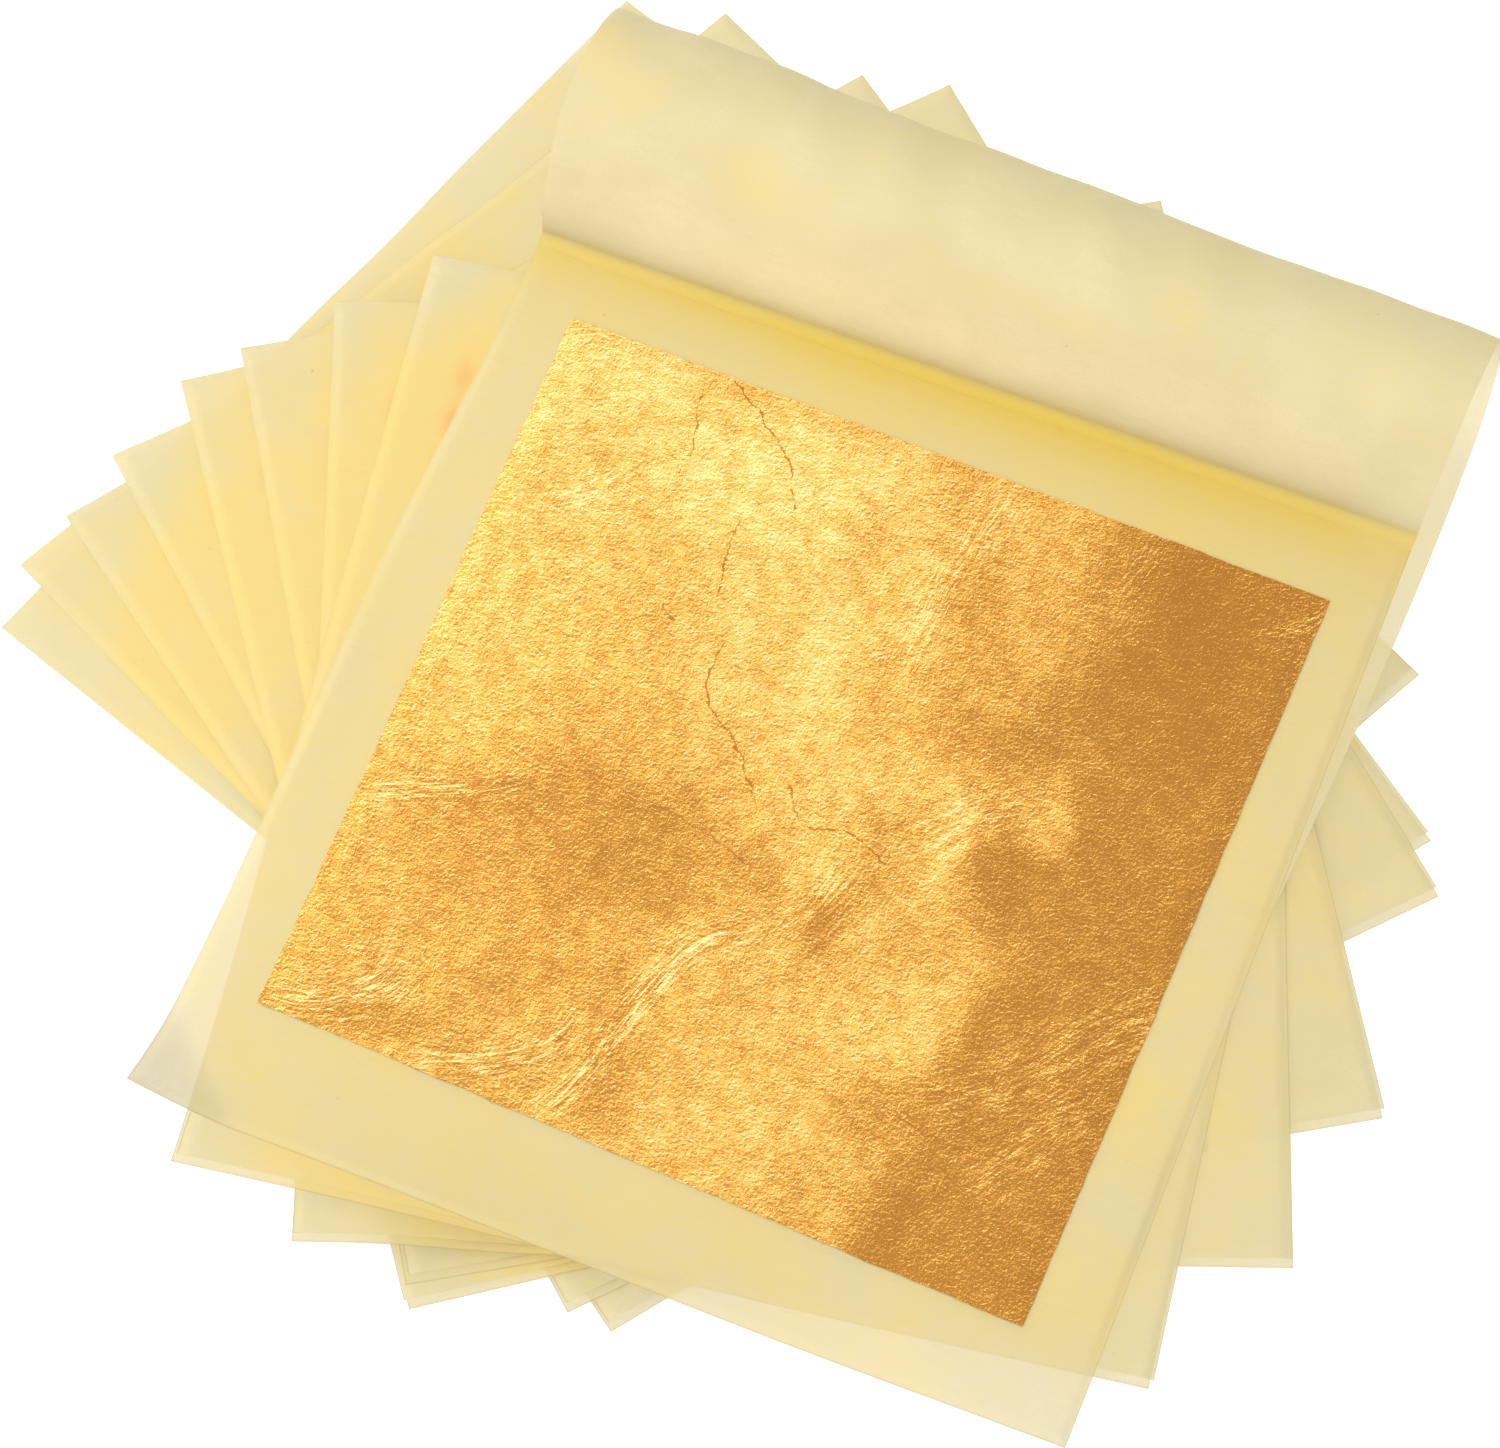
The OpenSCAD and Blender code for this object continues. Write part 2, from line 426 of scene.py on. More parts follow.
def in_fan(i, x, y, z, middle):
    """Moves page places to the fan: turned by the folder's angle about the page's middle."""
    angle = radians(turns[i])
    world_x = middle[0] + x * cos(angle) - y * sin(angle)
    world_y = middle[1] + x * sin(angle) + y * cos(angle)
    world_z = middle[2] + z + edge_lift(i, x, y)
    return np.stack([world_x, world_y, world_z], axis=-1)


corner = edge_lift(1, np.array([-PAGE_W / 2]), np.array([-PAGE_L / 2]))[0]
print(f"the open page's corner stands {corner:.1f} mm up")

# %% [markdown]
# The tissue is thin machine-made paper: smooth, a little cloudy when light comes through
# it, with a few long fibres and faint creases from folding. It is deeper and warmer where
# leaf or more tissue lies behind it, and paler at its free corners. A photograph of tissue
# would give all this only once; noise in real millimetres gives each sheet its own.

# %% Node group for tissue fibres, creases and painted light
tissue_group, given, result = new_group(
    "tissue fibres and painted light",
    {"Place": ("vector", None), "Warmth_and_painted_light": ("float", 0.0), "Painted_bounce": ("float", 0.0),
     "Tint": ("float", 0.0), "Line": ("float", 0.0)},
    {"Color": "colour", "Roughness": "float", "Height": "float"},
)
place = given["Place"]
cloud = noise(tissue_group, place, 0.11, detail=4, roughness=0.6)
fine = noise(tissue_group, place, 4.0, detail=3, roughness=0.75)
long_fibres = noise(tissue_group, stretched(tissue_group, place, 0.35, (0.4, 1.4, 1)), 1.0, 2)
cross_fibres = noise(tissue_group, stretched(tissue_group, place, 1.9, (0.4, 1.2, 1)), 1.0, 2)
fibres = maths(tissue_group, "MULTIPLY", long_fibres, cross_fibres)
tone = maths(tissue_group, "MULTIPLY_ADD", cloud, 1.5, -0.75)
tone = maths(tissue_group, "ADD", tone, given["Warmth_and_painted_light"])
tone = add_swing(tissue_group, tone, fine, 1.3)
tone = add_swing(tissue_group, tone, fibres, 0.6, middle=0.25)
# A tone below zero turns the paper paler: random pale patches, and on the rolled cover painted
# light where it lies in shade
paler = maths(tissue_group, "MULTIPLY", tone, -1.0, clamp=True)
tone = maths(tissue_group, "ADD", tone, 0.0, clamp=True)
paper = mix_colours(tissue_group, tone, colour("#EFE0AC"), colour("#FFE18A"))
paper = mix_colours(tissue_group, paler, paper, colour("#FFF0BE"))
# Painted bounce light: a deeper yellow where light bouncing between the page and the roll would
# fall
paper = mix_colours(tissue_group, given["Painted_bounce"], paper, colour("#F4CE48"))
paper = mix_colours(tissue_group, given["Tint"], paper, colour("#FFC172"))
# A darker line: a real old fold line on one sheet, and on the others the painted contact shadow
# along the right and lower cut edges
line_share = maths(tissue_group, "MULTIPLY", given["Line"], 0.8)
paper = mix_colours(tissue_group, line_share, paper, colour("#CDB26C"))
fleck_at = noise(tissue_group, place, 0.9, detail=1, roughness=0.4)
fleck = soft_step(tissue_group, fleck_at, 0.8, 0.84)
fleck_share = maths(tissue_group, "MULTIPLY", fleck, 0.35)
paper = mix_colours(tissue_group, fleck_share, paper, colour("#B89A5A"))
one_way = stretched(tissue_group, place, 0.5, (0.05, 0.3, 1))
other_way = stretched(tissue_group, place, 2.2, (0.04, 0.22, 1))
crease_a = noise(tissue_group, one_way, 1.0, detail=1, distortion=0.6)
crease_b = noise(tissue_group, other_way, 1.0, detail=1, distortion=0.5)
relief = maths(tissue_group, "ADD", thin_lines(tissue_group, crease_a, 0.05),
               thin_lines(tissue_group, crease_b, 0.05))
relief = maths(tissue_group, "MULTIPLY_ADD", fine, 0.5, relief)
relief = maths(tissue_group, "MULTIPLY_ADD", given["Line"], 2.0, relief)
tissue_group.links.new(paper, result["Color"])
tissue_group.links.new(soft_step(tissue_group, fine, 0.3, 0.7, 0.6, 0.75), result["Roughness"])
tissue_group.links.new(relief, result["Height"])
print("tissue group has", len(tissue_group.nodes), "nodes")

# %% [markdown]
# The tissue lets light through, so the edges of the sheets below show faintly, and a corner
# with nothing but the white table under it is paler. Where the leaf lies against a page it
# shows less, as an even warm tone. A light ray meets two faces on each page, so each face
# lets through the square root of what the page does. An old fold and the painted contact
# shadow along the right and lower cut edges are each kept as the distance from their line,
# which stays exact between the grid's points, however fine the line is. Real tissue also
# spreads light to what lies behind it. Here lamp rays and bounced light pass more easily
# than sight does, so shadows between the sheets stay pale and warm.

# %% Tissue material
COVER_BARE, COVER_LEAF, COVER_ROLL = 0.84, 0.92, 0.86
# Share of a face's cover that light is spared
LIGHT_THROUGH = 0.96
FOLD_LINE_HALF = 0.2


def face_cover(page_cover):
    """Cover of one face, from the cover of a page with two faces."""
    return 1 - np.sqrt(1 - page_cover)


def make_tissue():
    """Pale yellow tissue, matt, slightly see-through, with its fibres as colour and relief."""
    material, tree, shader, place = new_material("yellow tissue")
    marks = read_marks(tree, "warmth", "glow", "tint", "cover", "line", "line_from")
    # Distance from a line: the real old fold on one sheet, the painted edge shadow on the others
    distance = maths(tree, "ABSOLUTE", marks["line_from"])
    near_line = soft_step(tree, distance, 0, FOLD_LINE_HALF, 1, 0)
    line = maths(tree, "MULTIPLY", near_line, marks["line"])
    inputs = {"Place": place, "Warmth_and_painted_light": marks["warmth"], "Painted_bounce": marks["glow"],
              "Tint": marks["tint"], "Line": line}
    paper = use_group(tree, tissue_group, inputs)
    tree.links.new(paper["Color"], shader.inputs["Base Color"])
    tree.links.new(paper["Roughness"], shader.inputs["Roughness"])
    path = add(tree, "LightPath").outputs
    lighting = maths(tree, "MAXIMUM", path["Is Shadow Ray"], path["Is Diffuse Ray"])
    stopped = maths(tree, "MULTIPLY_ADD", lighting, -LIGHT_THROUGH, 1.0)
    tree.links.new(maths(tree, "MULTIPLY", marks["cover"], stopped), shader.inputs["Alpha"])
    bump = add(tree, "Bump", {"Height": paper["Height"], "Distance": 0.00003, "Strength": 0.4})
    tree.links.new(bump.outputs["Normal"], shader.inputs["Normal"])
    shader.inputs["Specular IOR Level"].default_value = 0.25
    shader.inputs["Sheen Weight"].default_value = 0.08
    return material


tissue = make_tissue()
print("each face of a bare page covers", round(float(face_cover(COVER_BARE)), 3))

# %% [markdown]
# Beaten leaf is far thinner than the tissue, so it takes every small crumple. From close
# up it is a fine glittering grain, with the light and shade of its facets painted in; over
# it run bundles of hair-fine creases with painted highlights, and a few dark cracks where
# the leaf has stretched. Its reflection is painted into its colour as uneven soft bright
# and dark clouds, with painted shade on its right side. The clouds, bundles and cracks are
# laid out below, in millimetres from the leaf's upper left corner, along it and down it,
# and each is worked out over the whole grid.

# %% Where the leaf is bright, creased and cracked
LEAF_W = 80.0
# A distance at which no crack or line shows
FAR_OFF = 9.0
# Middle, half width, half height and strength of each bright or dark cloud of painted reflection
PAINTED_REFLECTION_CLOUDS = [
    ((4, 3), (14, 10), 0.22), ((22, 10), (9, 8), 0.16), ((34, 4), (8, 9), 0.14),
    ((36, 26), (7, 14), 0.2), ((2, 33), (7, 14), 0.08), ((57, 56), (7, 11), 0.08),
    ((46, 73), (9, 9), 0.04), ((48, 36), (8, 8), 0.06), ((46, 13), (5, 8), -0.12),
    ((24, 50), (14, 9), -0.32), ((53, 22), (8, 8), -0.22), ((53, 5), (7, 5), -0.1),
    ((47, 48), (7, 6), -0.24), ((33, 73), (5, 7), -0.22), ((10, 79), (12, 5), -0.26),
    ((15, 64), (22, 15), -0.16), ((60, 78), (6, 5), -0.2), ((70, 9), (8, 9), -0.3),
    ((60, 30), (6, 5), -0.12), ((46, 46), (4, 4), -0.16), ((25, 34), (6, 4), -0.13),
    ((43, 16), (6, 4), -0.1), ((12, 50), (6, 5), -0.1), ((58, 28), (4, 3), 0.12),
    ((58, 40), (4, 3), 0.12), ((52, 64), (4, 4), -0.1), ((27, 66), (4, 4), -0.1),
]
# Level of the painted reflection, and how much painted shade darkens the right side, between these
# lengths along
PAINTED_REFLECTION_LEVEL = 0.525
PAINTED_SIDE_SHADE, SIDE_FROM, SIDE_TO = -0.46, 55.0, 66.0
# Points along each bundle of creases, its half width and its strength
BUNDLES = [
    (((0, 56), (4, 54), (10, 51.5), (16, 47.5)), 1.7, 0.8),
    (((29, 80), (32, 73), (34, 64), (37, 57), (42, 53)), 1.7, 0.9),
    (((43, 54), (46, 49), (48, 43)), 3.0, 0.6),
    (((0, 79), (5, 78), (10, 74), (12, 70)), 3.0, 0.85),
    (((15, 80), (22, 77), (27, 73), (29, 68)), 2.3, 0.8),
    (((3, 21), (8, 18), (12, 13)), 1.6, 0.6),
    (((61, 7), (62, 2), (63, -1)), 1.6, 0.8),
    (((44, 24), (45, 12), (47, 0)), 2.6, 0.45),
    (((62, 64), (70, 58), (76, 50), (81, 45)), 4.5, 0.6),
    (((74, 7), (78, 4), (81, 0)), 1.2, 0.8),
    (((70, 70), (75, 62), (80, 57)), 2.6, 0.6),
    (((52, 40), (57, 34), (62, 30)), 2.6, 0.55),
]
# Distance in the noise between one bundle and the next, so that no two are alike
BUNDLE_APART = 40
# Points along each dark crack
CRACKS = [
    ((17.5, 0), (22, 3.5), (26, 7), (28.2, 11.5)),
    ((23.5, 14), (24, 19), (24.6, 22.5)),
    ((27, 27), (27.8, 33), (32.8, 37.2), (36.5, 41.8)),
    ((38.5, 38.5), (41.5, 41.8), (46, 41), (50.5, 42.4)),
    ((24, 45.5), (31, 46), (38, 47.6)),
    ((60, 65.6), (67, 66.4), (74, 65)),
    ((15, 3), (16.6, 10)),
    ((20, 25.5), (21.8, 27)),
]


def rounded(points, steps=8):
    """A smooth line through a few points, by the Catmull-Rom formula between each pair."""
    p = np.array(points, float)
    p = np.concatenate([[2 * p[0] - p[1]], p, [2 * p[-1] - p[-2]]])
    a, b, c, d = [q[:, None] for q in (p[:-3], p[1:-2], p[2:-1], p[3:])]
    t = np.linspace(0, 1, steps, endpoint=False)[:, None]
    bend = (2 * a - 5 * b + 4 * c - d) * t ** 2 + (3 * b - a - 3 * c + d) * t ** 3
    curve = 0.5 * (2 * b + (c - a) * t + bend)
    return np.concatenate([curve.reshape(-1, 2), p[-2:-1]])


def along_and_across(x, y, points):
    """Length along a line to the nearest place on it, signed distance from it, and whole length."""
    line = rounded(points)
    steps = np.diff(line, axis=0)
    lengths = np.linalg.norm(steps, axis=1)
    starts = np.concatenate([[0], np.cumsum(lengths)[:-1]])
    best = np.full(x.shape, np.inf)
    along, across = np.zeros(x.shape), np.zeros(x.shape)
    headings = steps / lengths[:, None]
    for (px, py), (dx, dy), length, start in zip(line[:-1], headings, lengths, starts):
        t = np.clip((x - px) * dx + (y - py) * dy, 0, length)
        off_x, off_y = x - px - t * dx, y - py - t * dy
        distance = np.hypot(off_x, off_y)
        nearer = distance < best
        side = np.sign(dx * off_y - dy * off_x)
        best = np.where(nearer, distance, best)
        along = np.where(nearer, start + t, along)
        across = np.where(nearer, side * distance, across)
    return along, across, float(lengths.sum())


def paint_leaf_reflection(x, y):
    """Painted reflection of the leaf: soft clouds about one level, and painted shade on the right
    side.
    """
    warp_x = x + 3.0 * ripples(x, y, 14, 11)
    warp_y = y + 3.0 * ripples(x, y, 14, 12)
    painted_reflection = PAINTED_REFLECTION_LEVEL + PAINTED_SIDE_SHADE * smooth(warp_x, SIDE_FROM, SIDE_TO)
    for (cx, cy), (rx, ry), strength in PAINTED_REFLECTION_CLOUDS:
        painted_reflection = painted_reflection + strength * np.exp(-((warp_x - cx) / rx) ** 2 - ((warp_y - cy) / ry) ** 2)
    return painted_reflection


def leaf_bundles(x, y):
    """The strongest crease bundle at each place: its strength, and the place along and across."""
    strength = np.zeros(x.shape)
    along, across = x.copy(), y.copy()
    for k, (points, half, share) in enumerate(BUNDLES):
        run, off, length = along_and_across(x, y, points)
        ends = smooth(run, 0, 3) * (1 - smooth(run, length - 3, length))
        mask = share * np.exp(-(off / half) ** 2) * (0.3 + 0.7 * ends)
        mask = np.where(np.abs(off) < 3 * half, mask, 0)
        stronger = mask > strength
        strength = np.where(stronger, mask, strength)
        along = np.where(stronger, run + BUNDLE_APART * k, along)
        across = np.where(stronger, off, across)
    return strength, along, across


def leaf_cracks(x, y):
    """Signed distance to the nearest crack; past a crack's ends it is a millimetre more."""
    nearest = np.full(x.shape, FAR_OFF)
    for points in CRACKS:
        run, off, length = along_and_across(x, y, points)
        inside = (run > 0.01) & (run < length - 0.01)
        distance = np.where(inside, off, np.sign(off) * (np.abs(off) + 1))
        nearest = np.where(np.abs(distance) < np.abs(nearest), distance, nearest)
    return nearest


first_crack = np.diff(rounded(CRACKS[0]), axis=0)
print("crack 1 is", round(float(np.linalg.norm(first_crack, axis=1).sum()), 1), "mm long")

# %% [markdown]
# The grain is finer than any sensible mesh, so it is left to the shader, as colour,
# roughness and relief together, with the light and shade on its facets painted into the
# colour. The creases use the place along and across their bundle: noise that is long one
# way and hair-fine the other follows each bundle round its bends.

# %% Node group for the leaf's grain, with its painted light and shade
# Painted facet shading, as if lit from one side: the difference between one noise and the same
# noise a step away
FACET_STEP = (0.08, 0.08, 0.0)
# The metal's colour from its darkest to its brightest, by level
GOLD_TONES = [(0.0, "#A87232"), (0.1, "#B67E37"), (0.24, "#BE853C"), (0.4, "#D49C48"),
              (0.58, "#E8B456"), (0.76, "#F2C56C"), (1.0, "#FDE7A8")]
grain_group, given, result = new_group(
    "leaf grain and painted light",
    {"Place": ("vector", None), "Painted_reflection": ("float", 0.6), "Crease_highlight_and_relief": ("float", 0.0)},
    {"Color": "colour", "Roughness": "float", "Height": "float"},
)
place = given["Place"]
moved = add(grain_group, "VectorMath", {0: place, 1: FACET_STEP}, operation="ADD").outputs[0]
near, far = [noise(grain_group, at, 2.8, detail=3, roughness=0.6, distortion=0.8)
             for at in (place, moved)]
painted_facet_shading = maths(grain_group, "MULTIPLY", maths(grain_group, "SUBTRACT", near, far), 3.0)
clump = noise(grain_group, place, 0.5, detail=5, roughness=0.7)
drift = noise(grain_group, place, 0.13, detail=3, roughness=0.6)
one_way = stretched(grain_group, place, 1.1, (0.9, 1.4, 1), (37, 11, 0))
other_way = stretched(grain_group, place, -0.6, (0.7, 1.4, 1))
dark_lines = noise(grain_group, one_way, 1.9, detail=2, roughness=0.6, distortion=1.0)
pale_lines = noise(grain_group, other_way, 1.6, detail=2, roughness=0.6, distortion=1.0)
dark, pale = [thin_lines(grain_group, lines, 0.06) for lines in (dark_lines, pale_lines)]
patchy = soft_step(grain_group, clump, 0.4, 0.62, 1, 0.3)
value = add_swing(grain_group, given["Painted_reflection"], clump, 0.7)
value = add_swing(grain_group, value, drift, 0.3)
depth = maths(grain_group, "MULTIPLY_ADD", given["Painted_reflection"], -0.4, 1.05)
value = maths(grain_group, "MULTIPLY_ADD", painted_facet_shading, depth, value)
broken_dark = maths(grain_group, "MULTIPLY", dark, patchy)
value = maths(grain_group, "MULTIPLY_ADD", broken_dark, -0.3, value)
value = maths(grain_group, "MULTIPLY_ADD", pale, 0.16, value)
value = maths(grain_group, "MULTIPLY_ADD", given["Crease_highlight_and_relief"], 0.7, value)
ramp = add(grain_group, "ValToRGB", {"Fac": value})
stops = ramp.color_ramp.elements
for position, _ in GOLD_TONES[1:-1]:
    stops.new(position)
for stop, (position, tone) in zip(stops, GOLD_TONES):
    stop.position = position
    stop.color = colour(tone)
height = maths(grain_group, "MULTIPLY_ADD", clump, 1.2, near)
height = maths(grain_group, "MULTIPLY_ADD", given["Crease_highlight_and_relief"], 1.5, height)
grain_group.links.new(ramp.outputs["Color"], result["Color"])
grain_group.links.new(soft_step(grain_group, near, 0.3, 0.7, 0.5, 0.38), result["Roughness"])
grain_group.links.new(height, result["Height"])
print("leaf group has", len(grain_group.nodes), "nodes")

# %% [markdown]
# The material adds what belongs to the leaf's own layout. Its bright hairs are painted
# highlights and their gaps painted shade, from noise along and across each bundle, which
# also gives them relief. A crack is a line of uneven width that wanders and breaks up,
# because thin metal tears where it happens to be weakest.

# %% Gold leaf material
def make_gold():
    """Beaten gold: a metal whose grain, creases and cracks are colour, roughness and relief, with
    painted reflection and highlights in the colour.
    """
    material, tree, shader, place = new_material("gold leaf")
    marks = read_marks(tree, "painted_reflection", "bundle", "along", "across", "crack")
    slow = maths(tree, "MULTIPLY", marks["along"], 0.07)
    flow = add(tree, "CombineXYZ", {"X": slow, "Y": marks["across"]}).outputs[0]
    strands = noise(tree, flow, 1.6, detail=2, roughness=0.6, distortion=0.15)
    # Bright hairs are painted highlights, and the thin lines between them painted shade
    light = thin_lines(tree, strands, 0.06)
    slanted = stretched(tree, flow, 0.5, (1.3, 1, 1), (17, 5, 0))
    shades = noise(tree, slanted, 1.5, detail=2, roughness=0.6, distortion=0.5)
    shaded = maths(tree, "MULTIPLY_ADD", thin_lines(tree, shades, 0.04), -0.4, light)
    crease = maths(tree, "MULTIPLY", shaded, marks["bundle"])
    wandering = noise(tree, place, 0.6, detail=4, roughness=0.6)
    wander = maths(tree, "MULTIPLY_ADD", wandering, 1.6, -0.8)
    from_crack = maths(tree, "ABSOLUTE", maths(tree, "ADD", marks["crack"], wander))
    width = soft_step(tree, noise(tree, place, 0.9, detail=2), 0.35, 0.7, 0.05, 0.2)
    widths_off = maths(tree, "DIVIDE", from_crack, width)
    unbroken = soft_step(tree, noise(tree, place, 0.3, detail=3, roughness=0.7), 0.36, 0.44)
    dark = maths(tree, "MULTIPLY", soft_step(tree, widths_off, 0.5, 1.0, 1, 0), unbroken)
    # Level of the painted reflection, a little brighter in the bundles and darker in the cracks
    level = maths(tree, "MULTIPLY_ADD", marks["bundle"], 0.02, marks["painted_reflection"])
    level = maths(tree, "MULTIPLY_ADD", dark, -0.7, level)
    leaf = use_group(tree, grain_group, {"Place": place, "Painted_reflection": level, "Crease_highlight_and_relief": crease})
    tree.links.new(leaf["Color"], shader.inputs["Base Color"])
    tree.links.new(leaf["Roughness"], shader.inputs["Roughness"])
    bump = add(tree, "Bump", {"Height": leaf["Height"], "Distance": 0.00004, "Strength": 0.6})
    tree.links.new(bump.outputs["Normal"], shader.inputs["Normal"])
    shader.inputs["Metallic"].default_value = 1.0
    return material


gold = make_gold()
print("gold material has", len(gold.node_tree.nodes), "nodes")

# %% [markdown]
# A closed folder is one sheet folded once: the under page, a half round at the fold and
# the upper page, which stops a little short of the under one at the open edge. The sheet
# is a profile in length and height carried across the folder's width. Its pages part over
# the leaf and come together at the borders, whose last millimetre droops towards the sheet
# below. The fold was made by hand, so each upper page lies a little askew on its under one.

# %% Closed folders
ACROSS, PAGE_ROWS, FOLD_ROWS = 80, 80, 8
TISSUE_T = PAPER_T * 0.5
# From the middle of a page to the middle of its leaf, as in the drawing
LEAF_SHIFT = (0.3, 2.1)
# Distance on the map between one sheet and the next, so that no two are alike
SHEETS_APART = 130
# How far an upper page closes and both pages droop at the borders, and its reach inwards
BORDER_CLOSING, BORDER_DROOP, BORDER_REACH = 0.12, 0.05, 1.1
# The most that an upper page lies askew at its open edge
SKEW = 0.5
# Paleness comes in where x and y from the middle add up to between these
CORNER_FROM, CORNER_TO = 80.0, 97.0
PAGE_WARMTH = {1: 0.36, 9: 0.4}
FOLDER_WARMTH = 0.85
LEAF_WARMTH = 0.3
RIGHT_PALER = 0.65
# Strength of the orange tint beside the hidden leaf, by folder
TINTS = {2: 0.9, 3: 0.45}
FAINT_TINT = 0.25
# Start and height of an old fold line on a page, its slope, and its end, by folder
FOLD_LINES = {9: (6.0, 46.4, -0.12, 30.0)}
# Strength of the painted contact shadow along the cut edges at the right and below
EDGE_SHADOW_LINE = 0.7


def folded_profile():
    """Length, page place, height and side along a closed folder: page, half round, page.

    On the half round, place = middle + radius * sin(angle), and
    height = middle - radius * cos(angle). The side is 0 on the under page and 1 on the
    upper page."""
    radius = (FOLDER_T - PAPER_T) / 2
    fold_y = PAGE_L / 2 - FOLDER_T / 2
    under = spaced(-PAGE_L / 2, fold_y, PAGE_ROWS)
    angle = np.linspace(0, pi, FOLD_ROWS + 1)[1:-1]
    upper = spaced(fold_y, PAGE_STEP - PAGE_L / 2, PAGE_ROWS)
    y = np.concatenate([under, fold_y + radius * np.sin(angle), upper])
    z = np.concatenate([under * 0 - radius, -radius * np.cos(angle), upper * 0 + radius])
    length = np.concatenate([[0], np.cumsum(np.hypot(np.diff(y), np.diff(z)))])
    return length, y, z + FOLDER_T / 2, 0.5 + z / (2 * radius)


def from_border(x, y):
    """Distance of a place on a page from the nearest of its four borders."""
    return np.minimum(PAGE_W / 2 - np.abs(x), PAGE_L / 2 - np.abs(y))


def over_leaf(x, y, fade=3.0):
    """One over the leaf and zero at the bare margins, with a soft edge."""
    reach = LEAF_W / 2 + 1.0
    inside_x = 1 - smooth(np.abs(x - LEAF_SHIFT[0]), reach - fade, reach + fade)
    inside_y = 1 - smooth(np.abs(y - LEAF_SHIFT[1]), reach - fade, reach + fade)
    return inside_x * inside_y


def leaf_tint(i, x, y):
    """Orange where the leaf's left edge touches the page near its corner: a narrow broken band."""
    near_edge = np.exp(-(x + LEAF_W / 2 + 0.6) ** 2)
    band = near_edge * smooth(y, 24, 33) * (1 - smooth(y, 38, 43))
    broken = 0.4 + 0.6 * smooth(ripples(x, y, 5, 60 + i), -0.5, 0.6)
    return TINTS.get(i, FAINT_TINT) * band * broken


def page_marks(i, x, y):
    """The marks that the tissue reads at places on page i."""
    inside = over_leaf(x, y)
    corner = smooth(np.abs(x) + np.abs(y), CORNER_FROM, CORNER_TO)
    level = PAGE_WARMTH.get(i, FOLDER_WARMTH)
    if i > 1:
        level = level * (1 - RIGHT_PALER * smooth(x, -25, 30))
    warmth = level * (1 - corner) + LEAF_WARMTH * inside * (level / FOLDER_WARMTH)
    warmth = warmth + 0.1 * ripples(x, y, 22, 40 + i)
    marks = {"warmth": warmth, "glow": 0 * x, "tint": leaf_tint(i, x, y),
             # Painted contact shadow along the right and lower cut edges; folder 9 has its old fold
             # line instead
             "line": EDGE_SHADOW_LINE * np.maximum(smooth(x, 5, 35), smooth(-y, 30, 45)),
             "line_from": from_border(x, y),
             "cover": face_cover(COVER_BARE + (COVER_LEAF - COVER_BARE) * inside)}
    if i in FOLD_LINES:
        start, height, slope, end = FOLD_LINES[i]
        marks["line"] = smooth(x, start, start + 3) * (1 - smooth(x, (start + end) / 2, end))
        marks["line_from"] = y - height - slope * (x - start)
    return marks


def make_folder(i):
    """One closed folder of tissue, turned and placed as its node is."""
    length, y, z, side = folded_profile()
    x = spaced(-PAGE_W / 2, PAGE_W / 2, ACROSS)
    grid_x, grid_y = np.meshgrid(x, y, indexing="ij")
    edge = 1 - smooth(from_border(grid_x, grid_y), 0, BORDER_REACH)
    sag = BORDER_DROOP if i < FOLDERS else 0
    grid_z = z - edge * (BORDER_CLOSING * side + sag)
    askew = np.random.default_rng(70 + i).uniform(-SKEW, SKEW)
    fold_wave = 0.15 * ripples(grid_x, grid_x * 0, 24, 90 + i) * smooth(grid_y, 20, 50)
    shifted_x = grid_x + askew * side * (PAGE_L / 2 - grid_y) / PAGE_L
    middle = in_fan(i, shifted_x, grid_y + fold_wave, grid_z, middle_of(f"folder_{i}"))
    map_x = grid_x + SHEETS_APART * i
    on_sheet = np.stack(np.broadcast_arrays(map_x, length[None, :]), axis=-1)
    marks = page_marks(i, grid_x, grid_y)
    sheet = make_sheet(f"folder_{i}_tissue", tissue, middle, TISSUE_T, on_sheet, marks)
    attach(sheet, f"folder_{i}")
    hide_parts(f"folder_{i}")
    return sheet


folders = [make_folder(i) for i in range(FOLDERS, 1, -1)]
print(len(folders), "closed folders of", len(folders[0].data.polygons), "faces each")

# %% [markdown]
# A leaf lies inside each closed folder, and only a faint tint of it shows through the
# tissue. It is the same material as the open leaf on a coarser grid, and it follows the
# lift of the page under it.

# %% Leaves inside the folders
LEAF_T = 0.02
LEAF_TURN = radians(-1.7)
HIDDEN_ROWS = 48
# How far along the layout of clouds each folder's leaf starts, so that no two are alike
CLOUDS_APART = 7.0


def leaf_marks(x, y, shift=0.0):
    """All marks that the gold material reads, at places from the leaf's upper left corner."""
    strength, along, across = leaf_bundles(x, y)
    return {"painted_reflection": paint_leaf_reflection(x + shift, y), "bundle": strength, "along": along,
            "across": across, "crack": leaf_cracks(x, y)}


